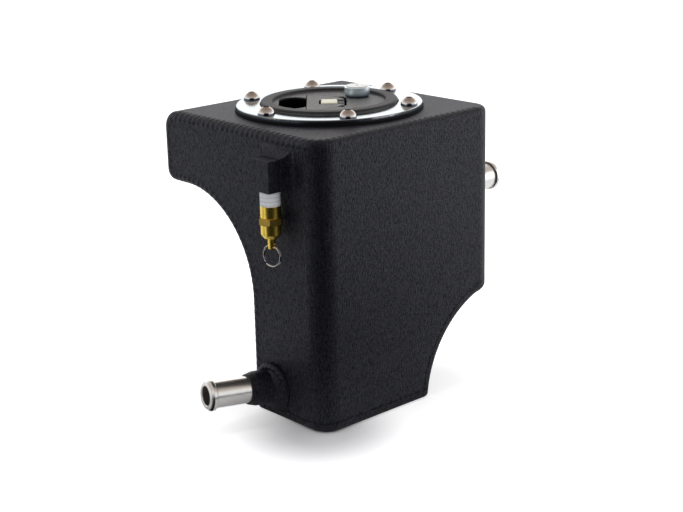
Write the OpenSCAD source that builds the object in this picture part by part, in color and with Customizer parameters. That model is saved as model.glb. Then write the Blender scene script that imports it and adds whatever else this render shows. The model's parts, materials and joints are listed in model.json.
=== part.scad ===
// Coolant expansion tank, welded from bent and rolled sheet, with a flush filler cap,
// two hose outlets and a pull-ring relief valve.
// Millimetres. The origin is the middle of the foot's underside, +Z is up.
// Face at -Y carries the valve block and the lower outlet, face at +X is the tall plain side.

/* [Tank shell] */
// Width of the tank across the top, along X
tank_w = 160.5; // [150:0.5:200]
// Depth of the tank across the top, along Y
tank_d = 161; // [150:1:200]
// Height of the tank
tank_h = 195; // [185:1:260]
// Width of the foot, along X
foot_w = 71; // [60:1:80]
// Depth of the foot, along Y
foot_d = 97; // [80:1:110]
// Thickness of the sheet, which is also the radius of the dressed outside welds
plate_t = 4; // [3:0.5:5]
// Outside radius of the two bent upright corners
bend_r = 14; // [10:0.5:18]
// Outside radius that the top sheet is rolled to, down into the left wall
roll_r = 12; // [6:0.5:18]
// Outside radius that the left underside is turned up to, into the left wall
tuck_r = 8; // [5:0.5:12]
// Radius that the left underside is rolled to
left_arch_r = 67.7; // [50:0.1:75]
// Height of the left underside above the foot
left_arch_top = 146.1; // [140:0.1:155]
// Radius that the rear underside is rolled to
rear_arch_r = 73.3; // [66:0.1:90]
// Height of the rear underside above the foot
rear_arch_top = 67.7; // [50:0.1:70]

/* [Filler ring] */
// Offset of the filler from the middle of the top, along X
filler_off_x = 1.7; // [-5:0.1:5]
// Offset of the filler from the middle of the top, along Y
filler_off_y = 0.3; // [-5:0.1:5]
// Radius of the filler hole in the top plate
mouth_r = 40.5; // [40.5:0.5:42]
// Outside radius of the plated ring
ring_r = 63.5; // [62:0.5:68]
// Thickness of the plated ring
ring_t = 2.6; // [2:0.1:4]
// How far the gasket stands out past the ring
gasket_lip = 0.9; // [0.5:0.1:2]
// Thickness of the gasket
gasket_t = 1.5; // [1:0.1:3]
// Depth of the tapped ring under the top plate
neck_t = 10; // [8:0.5:14]
// Radius of the circle of screws
screw_circle_r = 56.3; // [55:0.1:57]
// Turn of the first screw about the filler
screw_turn = 30.6; // [0:0.1:60]
// Number of screws
screw_count = 6; // [4:1:8]
// Radius of a screw's shank
screw_r = 2.9; // [2:0.1:3.2]
// Radius of a screw's button head
head_r = 5.8; // [5:0.1:6]
// Height of a screw's button head
head_h = 5.3; // [3:0.1:5.6]
// Width across the flats of a screw's socket
socket_af = 4; // [3:0.5:5]
// Length of a screw under its head
screw_len = 16; // [12:0.5:17]

/* [Cap] */
// Turn of the cap about the filler
cap_turn = 48.4; // [0:0.1:90]
// Radius of the cap
cap_r = 46.8; // [46:0.1:48]
// Running gap between the cap and the plated ring
cap_gap = 0.5; // [0.3:0.1:1]
// Height of the cap's rim above its seat on the gasket
cap_rim_h = 4.8; // [4.4:0.1:8]
// Radius of the dished middle of the cap
dish_r = 38.8; // [38.4:0.1:40]
// Depth of the dished middle under the rim
dish_depth = 2.4; // [1:0.1:3]
// Outside radius of the skirt that plugs the filler mouth
skirt_r = 37; // [36.5:0.1:38]
// Depth of the skirt under the seat
skirt_h = 10.5; // [10:0.5:12]
// Thickness of the skirt's wall
skirt_t = 2.6; // [2:0.1:3]
// Thickness of the cap's floors and pocket walls
cap_wall = 2; // [1.6:0.1:2.6]
// Gap between the seal and the filler mouth
seal_gap = 0.3; // [0.2:0.1:0.6]
// Width of the finger well, across the cap
well_w = 20; // [19:0.2:20.4]
// Length of the finger well
well_l = 41; // [36:0.5:44]
// Distance of the finger well from the cap's middle
well_off = 24.6; // [24.4:0.1:24.9]
// Depth of the finger well under the dish
well_depth = 9; // [7:0.5:9.5]

/* [Lever] */
// Radius of the half-round lever
lever_r = 27; // [26:0.2:27.6]
// Distance of the lever's straight edge from the cap's middle
lever_edge = 15.3; // [15.1:0.1:15.8]
// Thickness of the lever
lever_t = 3.8; // [3:0.1:4.2]
// Gap round the lever in its pocket
lever_gap = 0.6; // [0.4:0.1:1]
// Distance of the lever's pin from the cap's middle
pin_off = 8; // [7.6:0.1:8.2]
// Depth of the pin's axis under the dish
pin_depth = 1.7; // [1.6:0.1:1.9]
// Radius of the pin
pin_r = 1.1; // [0.9:0.1:1.2]
// Running gap round the pin
pin_gap = 0.05; // [0.03:0.01:0.1]
// Distance that the clamp drops when the lever is up
clamp_drop = 1.2; // [0.8:0.1:1.4]
// Width of the slot through the middle of the lever
slot_w = 15; // [14.5:0.1:16]

/* [Clamp] */
// Length of the pale cam block
block_l = 11.3; // [10:0.1:11.5]
// Width of the pale cam block
block_w = 13.6; // [12:0.1:13.8]
// Width of the steel crosshead under the block
crosshead_w = 9; // [8:0.1:10]
// Radius of the draw rod
rod_r = 4; // [3:0.1:4.5]
// Thickness of the clamp plate
clamp_t = 3; // [2.5:0.1:4]
// Width across the flats of the clamp nut
nut_af = 13; // [11:0.5:14]
// Thickness of the clamp nut
nut_t = 5; // [4:0.1:6]

/* [Bleed knob] */
// Distance of the knob from the cap's middle, along the lever
knob_u = 19.6; // [19.4:0.1:20.5]
// Distance of the knob from the cap's middle, across the lever
knob_v = 17.8; // [17.2:0.1:18.2]
// Radius of the knob
knob_r = 8.8; // [7.5:0.1:8.8]
// Height of the knob
knob_h = 7.8; // [5:0.1:8.2]
// Radius of the knob's shank
shank_r = 3; // [2.5:0.1:3.5]

/* [Hose outlets] */
// Outside radius of a hose tube
tube_r = 9; // [8.6:0.1:9.5]
// Radius of a hose tube's bore
tube_bore_r = 6.5; // [5.5:0.1:7]
// Length of an outlet, from the wall to the end of its tube
outlet_l = 49; // [45:0.5:60]
// Radius of the bead that holds the hose
bead_r = 10.5; // [9.9:0.05:11]
// Length of the bead
bead_l = 4.6; // [4:0.1:6]
// Radius of a welded bung
bung_r = 11.5; // [11:0.1:13]
// Length of a welded bung
bung_l = 19; // [16:0.5:22]
// Leg of the weld round a bung
bung_weld = 4.5; // [3:0.5:5]
// Distance of the lower outlet from the left edge of the foot
lower_x_in = 18.4; // [16.4:0.1:24]
// Height of the lower outlet at the wall
lower_z = 21.6; // [21.5:0.1:32]
// Splay of the lower outlet, away from the foot
lower_splay = 12.5; // [0:0.1:18]
// Rise of the lower outlet
lower_rise = 3.8; // [0:0.1:6]
// Distance of the upper outlet from the tall plain side
upper_x_in = 46.6; // [30:0.1:60]
// Height of the upper outlet
upper_z = 129.7; // [100:0.1:150]

/* [Valve block] */
// Width of the block
boss_w = 17.8; // [16.8:0.1:20]
// Distance that the block stands out of the face
boss_out = 16.4; // [16:0.1:20]
// Height of the block
boss_h = 20.5; // [18:0.1:24]
// Distance from the tall plain side to the block's middle
boss_x_in = 37.1; // [30:0.1:60]
// Distance from the top of the tank to the block's underside
boss_under = 34.1; // [30:0.1:40]
// Leg of the weld round the block
boss_weld = 5; // [3:0.1:6]

/* [Relief valve] */
// Radius of the valve's pipe thread
nipple_r = 6.6; // [6:0.1:6.8]
// Length of thread that shows under the block
nipple_l = 9.8; // [8:0.1:12]
// Length of thread inside the block
nipple_in = 9; // [8:0.5:12]
// Thickness of the thread tape
tape_t = 0.3; // [0.2:0.05:0.5]
// Radius of the valve's barrel
barrel_r = 6.7; // [6.5:0.1:7]
// Length of the barrel above the hexagon
barrel_top_l = 7.6; // [6:0.1:10]
// Width across the flats of the hexagon
hex_af = 14.3; // [13.8:0.1:15.5]
// Height of the hexagon
hex_h = 4.9; // [4:0.1:7]
// Length of the barrel under the hexagon
barrel_low_l = 8.9; // [8:0.1:12]
// Radius of the valve's stem
stem_r = 2.5; // [2.4:0.1:2.8]
// Length of stem that shows
stem_out = 7.6; // [7.2:0.1:9]
// Distance that the stem can be pulled
stem_travel = 2; // [1:0.1:2.5]
// Radius of the pull ring, to the middle of its wire
pull_r = 6.95; // [6:0.05:9]
// Radius of the pull ring's wire
pull_wire_r = 0.55; // [0.45:0.05:0.6]
// Turn of the pull ring from the face
pull_turn = 10; // [0:1:20]

/* [Hidden] */
$fn = 96;
e = 0.01;
big = 2000;

// Outside faces of the shell, and the inside corners that its welds are centred on
x_right = foot_w / 2;
x_left = x_right - tank_w;
y_front = -foot_d / 2;
y_back = y_front + tank_d;
in_l = x_left + plate_t;
in_r = x_right - plate_t;
in_f = y_front + plate_t;
in_k = y_back - plate_t;
in_top = tank_h - plate_t;
in_foot_l = -foot_w / 2 + plate_t;
bend_in = bend_r - plate_t;
bend_xr = x_right - bend_r;
bend_y = y_front + bend_r;
bend_yk = y_back - bend_r;
roll_x = x_left + roll_r;
roll_z = tank_h - roll_r;

// Left arch, rolled about an axis along Y
left_r = min(left_arch_r, tank_w - foot_w - tuck_r - 1);
left_cx = -foot_w / 2 - left_r;
left_cz = left_arch_top - left_r;
left_in = left_r + plate_t;
left_under = left_arch_top + plate_t;
tuck_x = x_left + tuck_r;
tuck_z = left_arch_top + tuck_r;

// Rear arch, rolled about an axis along X, with its axis under the foot
rear_cz = rear_arch_top - rear_arch_r;
rear_cy = foot_d / 2 + sqrt(pow(rear_arch_r, 2) - pow(rear_cz, 2));
rear_in = rear_arch_r + plate_t;
function rear_z(y) = rear_cz + sqrt(pow(rear_in, 2) - pow(min(y, rear_cy) - rear_cy, 2));
rear_foot_y = rear_cy - sqrt(pow(rear_in, 2) - pow(plate_t - rear_cz, 2));
rear_slope = atan((rear_z(in_k) - rear_z(bend_yk)) / bend_in);

// Filler
filler_x = x_left + tank_w / 2 + filler_off_x;
filler_y = y_front + tank_d / 2 + filler_off_y;
ring_bore_r = cap_r + cap_gap;
gasket_r = ring_r + gasket_lip;
hole_r = screw_r + 0.4;

// Cap, measured up from the tank's top face
seat_z = gasket_t;
rim_z = seat_z + cap_rim_h;
dish_z = rim_z - dish_depth;
skirt_low = seat_z - skirt_h;
seal_out_r = mouth_r - seal_gap;
seal_top = -2;
pocket_z = dish_z - lever_t - lever_gap;
pin_z = dish_z - pin_depth;
nose = sqrt(pow(lever_r, 2) - pow(slot_w / 2, 2)) - lever_edge - pin_off;
ear_v = sqrt(pow(lever_r, 2) - pow(lever_edge + pin_off, 2));
lobe_off = clamp_drop / 2 - 0.3;
lobe_r = nose + lobe_off;
lobe_low = lobe_off + 0.4;
lobe_floor = pin_z - lobe_r - lobe_low - 0.45;
slot_u0 = -block_l / 2 - 1.1;
slot_u1 = pin_off + sqrt(pow(nose, 2) + pow(pin_depth, 2)) + 0.6;
slot_v = ear_v + lever_gap;
relief_u = pin_off + pin_depth + 0.5;
relief_d = clamp_drop + pin_depth + 0.3;
relief_v = sqrt(pow(lever_r, 2) - pow(lever_edge + pin_off - relief_d, 2)) + 0.4;
crosshead_top = dish_z - 0.2;
crosshead_low = pin_z - pin_r - 1.6;
mid_floor = min(lobe_floor, crosshead_low - clamp_drop - 0.4);
block_z = crosshead_low + 1.4;
block_top = dish_z - 0.7;
plate_z = skirt_low - clamp_t - 0.1;

// Outlets and valve
lower_x = -foot_w / 2 + lower_x_in;
upper_x = x_right - upper_x_in;
socket_l = bung_l - 7;
boss_x = x_right - boss_x_in;
boss_z = tank_h - boss_under;
valve_y = y_front - boss_out / 2;
barrel_z = boss_z - nipple_l;
hex_z = barrel_z - barrel_top_l - hex_h;
low_z = hex_z - barrel_low_l;
stem_low = low_z - stem_out;
spring_r = 3.75;
chamber_r = 4.7;
chamber_low = low_z + 2.2;
chamber_top = barrel_z - 2.4;
flow_r = 3;
seat_r = 4.2;
seat_t = 2.4;
eye_z = stem_low + 2.2;
eye_r = 1.6;

// Shell seen along Y, with the left arch cut out, g in from the outside
module left_profile(g) {
    difference() {
        translate([x_left + g, -1]) square([tank_w + 2, tank_h - g + 1]);
        translate([left_cx, left_cz]) circle(r = left_r + g, $fn = 180);
        translate([x_left - 2, -2]) square([left_cx - x_left + 2, left_arch_top + g + 2]);
        translate([x_left - 2, -2]) square([-foot_w / 2 + g - x_left + 2, left_cz + 2]);
        difference() {
            translate([x_left - 1, roll_z]) square([roll_r + 1, roll_r + 1]);
            translate([roll_x, roll_z]) circle(r = roll_r - g);
        }
        difference() {
            translate([x_left - 1, left_arch_top - 1]) square([tuck_r + 1, tuck_r + 1]);
            translate([tuck_x, tuck_z]) circle(r = tuck_r - g);
        }
    }
}

// Shell seen along X, with the rear arch cut out, g in from the outside
module rear_profile(g) {
    difference() {
        translate([y_front - 1, -1]) square([tank_d + 2, tank_h + 2]);
        translate([rear_cy, rear_cz]) circle(r = rear_arch_r + g, $fn = 180);
        translate([rear_cy, -2]) square([tank_d, rear_arch_top + g + 2]);
    }
}

// Shell seen from above, g in from the outside, and g_left in from the left side
module plan(g, g_left) {
    translate([x_left + g_left, y_front + g]) square([bend_xr - x_left - g_left, tank_d - 2 * g]);
    translate([x_left + g_left, bend_y]) square([tank_w - g_left - g, tank_d - 2 * bend_r]);
    translate([bend_xr, bend_y]) circle(r = bend_r - g);
    translate([bend_xr, bend_yk]) circle(r = bend_r - g);
}

module left_solid(g) {
    translate([0, y_back + 1, 0]) rotate([90, 0, 0]) linear_extrude(tank_d + 2) left_profile(g);
}

module rear_solid(g) {
    translate([x_left - 1, 0, 0]) rotate([90, 0, 90]) linear_extrude(tank_w + 2) rear_profile(g);
}

module plan_solid(g, g_left, z0, z1) {
    translate([0, 0, z0]) linear_extrude(z1 - z0) plan(g, g_left);
}

// Sheet that runs from the top down the left side and under it, between two heights
module left_band(z0, z1) {
    intersection() {
        difference() {
            left_solid(0);
            left_solid(plate_t);
        }
        plan_solid(plate_t, 0, z0, z1);
    }
}

// Quarter-round section of a dressed outside weld
module bead() {
    intersection() {
        circle(r = plate_t, $fn = 48);
        square(plate_t);
    }
}

// Weld along X, from the inside corner (y, z) outwards to the sides sy and sz
module bead_x(x0, x1, y, z, sy, sz) {
    translate([x0, y, z]) mirror([0, sy < 0 ? 1 : 0, 0]) mirror([0, 0, sz < 0 ? 1 : 0])
        rotate([90, 0, 90]) linear_extrude(x1 - x0) bead();
}

// Weld along Y
module bead_y(y0, y1, x, z, sx, sz) {
    translate([x, y1, z]) mirror([sx < 0 ? 1 : 0, 0, 0]) mirror([0, 0, sz < 0 ? 1 : 0])
        rotate([90, 0, 0]) linear_extrude(y1 - y0) bead();
}

// Weld along Z
module bead_z(z0, z1, x, y, sx, sy) {
    translate([x, y, z0]) mirror([sx < 0 ? 1 : 0, 0, 0]) mirror([0, sy < 0 ? 1 : 0, 0])
        linear_extrude(z1 - z0) bead();
}

// Weld round one of the bent upright corners, from angle a0
module bead_bend(y, a0, z, sz) {
    translate([bend_xr, y, z]) mirror([0, 0, sz < 0 ? 1 : 0]) rotate([0, 0, a0])
        rotate_extrude(angle = 90) translate([bend_in, 0]) bead();
}

// Weld round a fold of the left side, on the side sy, from angle a0
module bead_fold(r, z, a0, y, sy) {
    translate([x_left + r, y, z]) rotate([90, 0, 0]) mirror([0, 0, sy > 0 ? 1 : 0])
        rotate([0, 0, a0]) rotate_extrude(angle = 90) translate([r - plate_t, 0]) bead();
}

// Weld along the left arch, on the side sy
module bead_left_arch(a0, y, sy) {
    translate([left_cx, y, left_cz]) rotate([90, 0, 0]) mirror([0, 0, sy > 0 ? 1 : 0])
        rotate([0, 0, a0]) rotate_extrude(angle = 90 - a0, $fn = 180)
            translate([left_in, 0]) mirror([1, 0]) bead();
}

// Weld along the rear arch, from y_end down to the foot, on the side sx
module bead_rear_arch(x, y_end, sx) {
    a0 = acos((min(y_end + plate_t, rear_cy) - rear_cy) / rear_in);
    a1 = 180 - asin((plate_t - rear_cz) / rear_in);
    intersection() {
        translate([x, rear_cy, rear_cz]) rotate([90, 0, 90]) mirror([0, 0, sx < 0 ? 1 : 0])
            rotate([0, 0, a0]) rotate_extrude(angle = a1 - a0, $fn = 180)
                translate([rear_in, 0]) mirror([1, 0]) bead();
        translate([-big / 2, y_end - big, plate_t]) cube(big);
    }
    if (y_end > rear_cy) bead_y(rear_cy, y_end, x, rear_z(y_end), sx, -1);
}

// Weld at the rear corner over the foot's left wall, cut to the slope of the rear arch
module bead_rear_corner() {
    intersection() {
        translate([in_foot_l - plate_t, in_k, 0]) cube([plate_t, plate_t, roll_z]);
        difference() {
            rear_solid(0);
            rear_solid(plate_t);
        }
        translate([in_foot_l, in_k, rear_z(in_k)]) sphere(r = plate_t + 0.3, $fn = 48);
    }
}

// Weld under the bent rear corner, where it runs down the slope of the rear arch
module bead_rear_bend() {
    intersection() {
        difference() {
            plan_solid(0, 0, 0, roll_z);
            plan_solid(plate_t, -1, -1, tank_h);
        }
        difference() {
            rear_solid(0);
            rear_solid(plate_t);
        }
        translate([bend_xr, bend_yk, 0]) cube([bend_r, bend_r, roll_z]);
        translate([bend_xr, bend_yk, rear_z(bend_yk)]) rotate([rear_slope, 0, 0])
            rotate_extrude() translate([bend_in, 0]) circle(r = plate_t + 0.3, $fn = 48);
    }
}

// Weld where three plates meet
module bead_corner(x, y, z, sx, sy, sz) {
    translate([x, y, z]) intersection() {
        sphere(r = plate_t, $fn = 48);
        translate([sx < 0 ? -plate_t : 0, sy < 0 ? -plate_t : 0, sz < 0 ? -plate_t : 0])
            cube(plate_t);
    }
}

module on_filler() {
    translate([filler_x, filler_y, tank_h]) children();
}

module on_cap() {
    on_filler() rotate([0, 0, cap_turn]) children();
}

module at_screws() {
    for (i = [0 : screw_count - 1]) rotate([0, 0, screw_turn + i * 360 / screw_count])
        translate([screw_circle_r, 0, 0]) children();
}

module on_lower() {
    translate([lower_x, y_front, lower_z]) rotate([0, 0, -lower_splay])
        rotate([90 - lower_rise, 0, 0]) children();
}

module on_upper() {
    translate([upper_x, y_back, upper_z]) rotate([-90, 0, 0]) children();
}

module on_valve() {
    translate([boss_x, valve_y, 0]) children();
}

// Bent sheet that makes the front, right and back walls
module shell_wrap() {
    color([0.16, 0.16, 0.17]) difference() {
        intersection() {
            difference() {
                plan_solid(0, 0, plate_t, in_top);
                plan_solid(plate_t, -1, 0, tank_h);
            }
            left_solid(plate_t);
            rear_solid(plate_t);
        }
        on_lower() cylinder(r = tube_bore_r, h = 40, center = true);
        on_upper() cylinder(r = tube_bore_r, h = 3 * plate_t, center = true);
        translate([boss_x, y_front, boss_z + boss_h / 2]) rotate([90, 0, 0])
            cylinder(r = flow_r, h = 3 * plate_t, center = true);
    }
}

// Flat of the left side, between the rolled top sheet and the turned-up underside
module left_wall() {
    color([0.16, 0.16, 0.17]) left_band(tuck_z, roll_z);
}

module top_plate() {
    color([0.16, 0.16, 0.17]) difference() {
        left_band(roll_z, tank_h + 1);
        on_filler() cylinder(r = mouth_r, h = 3 * plate_t, center = true);
        on_filler() at_screws() cylinder(r = hole_r, h = 3 * plate_t, center = true);
    }
}

module foot_plate() {
    color([0.16, 0.16, 0.17]) intersection() {
        plan_solid(plate_t, plate_t, 0, plate_t);
        left_solid(plate_t);
        translate([x_left, y_front, 0]) cube([tank_w, rear_foot_y - y_front, plate_t]);
    }
}

// Rolled sheet under the left side, which runs down into the foot's left wall
module left_arch_panel() {
    color([0.16, 0.16, 0.17]) intersection() {
        left_band(plate_t, tuck_z);
        rear_solid(plate_t);
    }
}

// Rolled sheet under the back, which makes the foot's rear wall
module rear_arch_panel() {
    color([0.16, 0.16, 0.17]) intersection() {
        difference() {
            rear_solid(0);
            rear_solid(plate_t);
        }
        plan_solid(plate_t, plate_t, plate_t, in_top);
        left_solid(plate_t);
    }
}

module top_weld() {
    color([0.2, 0.2, 0.21]) {
        bead_x(roll_x, bend_xr, in_f, in_top, -1, 1);
        bead_x(roll_x, bend_xr, in_k, in_top, 1, 1);
        bead_y(bend_y, bend_yk, in_r, in_top, 1, 1);
        bead_bend(bend_y, 270, in_top, 1);
        bead_bend(bend_yk, 0, in_top, 1);
        bead_fold(roll_r, roll_z, 90, in_f, -1);
        bead_fold(roll_r, roll_z, 90, in_k, 1);
    }
}

module left_arch_weld() {
    color([0.2, 0.2, 0.21]) {
        bead_fold(tuck_r, tuck_z, 180, in_f, -1);
        bead_x(tuck_x, left_cx, in_f, left_under, -1, -1);
        bead_left_arch(0, in_f, -1);
        bead_z(plate_t, left_cz, in_foot_l, in_f, -1, -1);
        bead_fold(tuck_r, tuck_z, 180, in_k, 1);
        bead_x(tuck_x, left_cx, in_k, left_under, 1, -1);
        bead_left_arch(0, in_k, 1);
        intersection() {
            bead_z(rear_z(in_k), left_cz, in_foot_l, in_k, -1, 1);
            rear_solid(plate_t);
        }
    }
}

module rear_arch_weld() {
    color([0.2, 0.2, 0.21]) {
        bead_rear_arch(in_r, bend_yk, 1);
        bead_rear_arch(in_foot_l, in_k, -1);
        bead_x(in_foot_l, bend_xr, in_k, rear_z(in_k), 1, -1);
        bead_rear_bend();
        bead_rear_corner();
    }
}

module foot_weld() {
    color([0.2, 0.2, 0.21]) {
        bead_x(in_foot_l, bend_xr, in_f, plate_t, -1, -1);
        bead_bend(bend_y, 270, plate_t, -1);
        bead_y(bend_y, rear_foot_y, in_r, plate_t, 1, -1);
        bead_x(in_foot_l, in_r, rear_foot_y, plate_t, 1, -1);
        bead_y(in_f, rear_foot_y, in_foot_l, plate_t, -1, -1);
        bead_corner(in_foot_l, in_f, plate_t, -1, -1, -1);
        bead_corner(in_r, rear_foot_y, plate_t, 1, 1, -1);
        bead_corner(in_foot_l, rear_foot_y, plate_t, -1, 1, -1);
    }
}

module corner_welds() {
    color([0.2, 0.2, 0.21]) {
        bead_z(tuck_z, roll_z, in_l, in_f, -1, -1);
        bead_z(tuck_z, roll_z, in_l, in_k, -1, 1);
    }
}

// Drilled block that the relief valve screws into
module valve_block() {
    color([0.16, 0.16, 0.17]) difference() {
        translate([boss_x - boss_w / 2, y_front - boss_out, boss_z])
            cube([boss_w, boss_out, boss_h]);
        on_valve() translate([0, 0, boss_z - e]) cylinder(r = nipple_r, h = nipple_in + 1);
        on_valve() translate([0, 0, boss_z]) cylinder(r = flow_r, h = boss_h / 2 + flow_r);
        translate([boss_x, y_front + e, boss_z + boss_h / 2]) rotate([90, 0, 0])
            cylinder(r = flow_r, h = boss_out / 2);
    }
}

module valve_block_weld() {
    color([0.2, 0.2, 0.21]) difference() {
        hull() {
            translate([boss_x - boss_w / 2 - boss_weld, y_front - e, boss_z])
                cube([boss_w + 2 * boss_weld, e, boss_h + boss_weld]);
            translate([boss_x - boss_w / 2, y_front - boss_weld, boss_z])
                cube([boss_w, e, boss_h]);
        }
        translate([boss_x - boss_w / 2, y_front - boss_out, boss_z])
            cube([boss_w, boss_out + 1, boss_h]);
    }
}

// Everything outside a wall, along the local Z of an outlet
module outside_front() {
    translate([-big / 2, y_front - big, -big / 2]) cube([big, big, big]);
}

// Turned bung: socket for the tube, bevelled nose
module bung() {
    difference() {
        rotate_extrude() polygon([[tube_bore_r, -8], [bung_r, -8], [bung_r, bung_l - 5],
            [tube_r + 1.2, bung_l], [tube_r + 0.03, bung_l], [tube_r + 0.03, bung_l - socket_l],
            [tube_bore_r, bung_l - socket_l]]);
    }
}

module bung_fillet() {
    rotate_extrude() polygon([[bung_r, -8], [bung_r + bung_weld + 8, -8], [bung_r, bung_weld]]);
}

// Hose tube with a rolled bead and a rounded lip
module hose_tube() {
    lip = bead_l - 2.4;
    rotate_extrude() polygon([[tube_bore_r, bung_l - socket_l], [tube_r, bung_l - socket_l],
        [tube_r, outlet_l - bead_l - 0.6], [bead_r - 0.3, outlet_l - bead_l],
        [bead_r, outlet_l - bead_l + 0.4], [bead_r, outlet_l - lip],
        [bead_r - 1.6, outlet_l - 0.5], [bead_r - 2.2, outlet_l],
        [tube_bore_r + 0.5, outlet_l], [tube_bore_r, outlet_l - 0.6]]);
}

module lower_bung() {
    color([0.14, 0.14, 0.15]) intersection() {
        on_lower() bung();
        outside_front();
    }
}

module lower_bung_weld() {
    color([0.2, 0.2, 0.21]) intersection() {
        on_lower() bung_fillet();
        outside_front();
    }
}

module lower_hose_tube() {
    color([0.8, 0.79, 0.77]) on_lower() hose_tube();
}

module upper_bung() {
    color([0.14, 0.14, 0.15]) intersection() {
        on_upper() bung();
        translate([-big / 2, y_back, -big / 2]) cube([big, big, big]);
    }
}

module upper_bung_weld() {
    color([0.2, 0.2, 0.21]) intersection() {
        on_upper() bung_fillet();
        translate([-big / 2, y_back, -big / 2]) cube([big, big, big]);
    }
}

module upper_hose_tube() {
    color([0.8, 0.79, 0.77]) on_upper() hose_tube();
}

// Tapped ring welded under the top plate
module neck_ring() {
    color([0.6, 0.6, 0.6]) on_filler() difference() {
        translate([0, 0, -plate_t - neck_t]) cylinder(r = gasket_r, h = neck_t);
        translate([0, 0, -plate_t - neck_t - 1]) cylinder(r = mouth_r, h = neck_t + 2);
        at_screws() translate([0, 0, -plate_t - neck_t - 1]) cylinder(r = screw_r, h = neck_t + 2);
    }
}

module filler_gasket() {
    color([0.1, 0.1, 0.1]) on_filler() difference() {
        cylinder(r = gasket_r, h = gasket_t, $fn = 144);
        translate([0, 0, -1]) cylinder(r = mouth_r, h = gasket_t + 2);
        at_screws() translate([0, 0, -1]) cylinder(r = hole_r, h = gasket_t + 2);
    }
}

// Plated clamping ring with a small broken edge
module flange_ring() {
    color([0.85, 0.87, 0.9]) on_filler() translate([0, 0, gasket_t]) difference() {
        rotate_extrude($fn = 144) polygon([[ring_bore_r, 0], [ring_r, 0], [ring_r, ring_t - 0.4],
            [ring_r - 0.4, ring_t], [ring_bore_r + 0.3, ring_t], [ring_bore_r, ring_t - 0.3]]);
        at_screws() translate([0, 0, -1]) cylinder(r = hole_r, h = ring_t + 2);
    }
}

// Button-head screws with hexagon sockets
module ring_screws() {
    dome = (head_r * head_r + head_h * head_h) / (2 * head_h);
    color([0.78, 0.76, 0.73]) on_filler() at_screws() translate([0, 0, gasket_t + ring_t]) {
        difference() {
            intersection() {
                cylinder(r = head_r, h = head_h);
                translate([0, 0, head_h - dome]) sphere(r = dome);
            }
            translate([0, 0, head_h - 2]) cylinder(r = socket_af / sqrt(3), h = 3, $fn = 6);
        }
        translate([0, 0, -screw_len]) cylinder(r = screw_r, h = screw_len);
    }
}

// Half-round outline of the lever, grown by g
module lever_outline(g) {
    intersection() {
        translate([-lever_edge, 0]) circle(r = lever_r + g);
        translate([-lever_edge - g, -lever_r - g])
            square([lever_r + 2 * g, 2 * (lever_r + g)]);
    }
}

// Oblong outline of the finger well, grown by g
module well_outline(g) {
    w = well_w / 2 + g;
    half = well_l / 2 - well_w / 2;
    translate([-well_off, 0]) {
        translate([-w, -half]) square([2 * w, 2 * half]);
        translate([0, half]) circle(r = w);
        translate([0, -half]) circle(r = w);
    }
}

// Moulded cap: rim, dished top, skirt, ribs, finger well and the lever's pocket
module cap_body() {
    slot_h = dish_z - mid_floor;
    color([0.2, 0.2, 0.2]) on_cap() difference() {
        union() {
            rotate_extrude($fn = 144) polygon([[0, dish_z - cap_wall - lever_t - lever_gap],
                [skirt_r - skirt_t, dish_z - cap_wall - lever_t - lever_gap],
                [skirt_r - skirt_t, skirt_low], [skirt_r, skirt_low], [skirt_r, seal_top],
                [skirt_r + 2.2, seal_top], [skirt_r + 2.2, seat_z], [cap_r, seat_z],
                [cap_r, rim_z - 0.8], [cap_r - 0.8, rim_z], [dish_r + 0.9, rim_z],
                [dish_r, rim_z - 0.6], [dish_r, dish_z], [0, dish_z]]);
            intersection() {
                translate([0, 0, dish_z - well_depth - cap_wall])
                    linear_extrude(well_depth) well_outline(cap_wall);
                translate([0, 0, skirt_low]) cylinder(r = skirt_r - e, h = skirt_h);
            }
            translate([slot_u0 - cap_wall, -slot_v - cap_wall, mid_floor - cap_wall])
                cube([slot_u1 - slot_u0 + 2 * cap_wall, 2 * (slot_v + cap_wall), slot_h]);
            translate([0, 0, skirt_low + 1.5]) cylinder(r = rod_r + 3, h = skirt_h - 2);
            translate([knob_u, knob_v, skirt_low + 3]) cylinder(r = shank_r + 3, h = skirt_h - 3);
            for (a = [20, 75, 105, 255, 285, 340]) rotate([0, 0, a])
                translate([20, -cap_wall / 2, skirt_low + 3]) cube([15, cap_wall, skirt_h - 4]);
        }
        translate([0, 0, dish_z - well_depth]) linear_extrude(well_depth + 5) well_outline(0);
        translate([0, 0, pocket_z]) linear_extrude(lever_t + 5) lever_outline(lever_gap);
        translate([slot_u0, -slot_v, lobe_floor]) cube([slot_u1 - slot_u0, 2 * slot_v, slot_h + 5]);
        translate([slot_u0, -slot_w / 2 + 0.4, mid_floor])
            cube([slot_u1 - slot_u0, slot_w - 0.8, slot_h + 5]);
        translate([relief_u - 8, -relief_v, pocket_z]) cube([8, 2 * relief_v, lever_t + 5]);
        translate([0, 0, skirt_low]) cylinder(r = rod_r + 0.3, h = skirt_h + 5);
        translate([knob_u, knob_v, skirt_low]) cylinder(r = shank_r + 0.3, h = skirt_h + 8);
    }
}

// Rubber ring that the clamp squeezes against the filler mouth
module cap_seal() {
    seal_low = skirt_low + 0.2;
    mid = (seal_low + seal_top) / 2;
    color([0.12, 0.12, 0.12]) on_cap() rotate_extrude() polygon([[skirt_r + 0.1, seal_low],
        [seal_out_r - 0.8, seal_low], [seal_out_r, mid - 1.5], [seal_out_r, mid + 1.5],
        [seal_out_r - 0.8, seal_top - 0.1], [skirt_r + 0.1, seal_top - 0.1]]);
}

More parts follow.
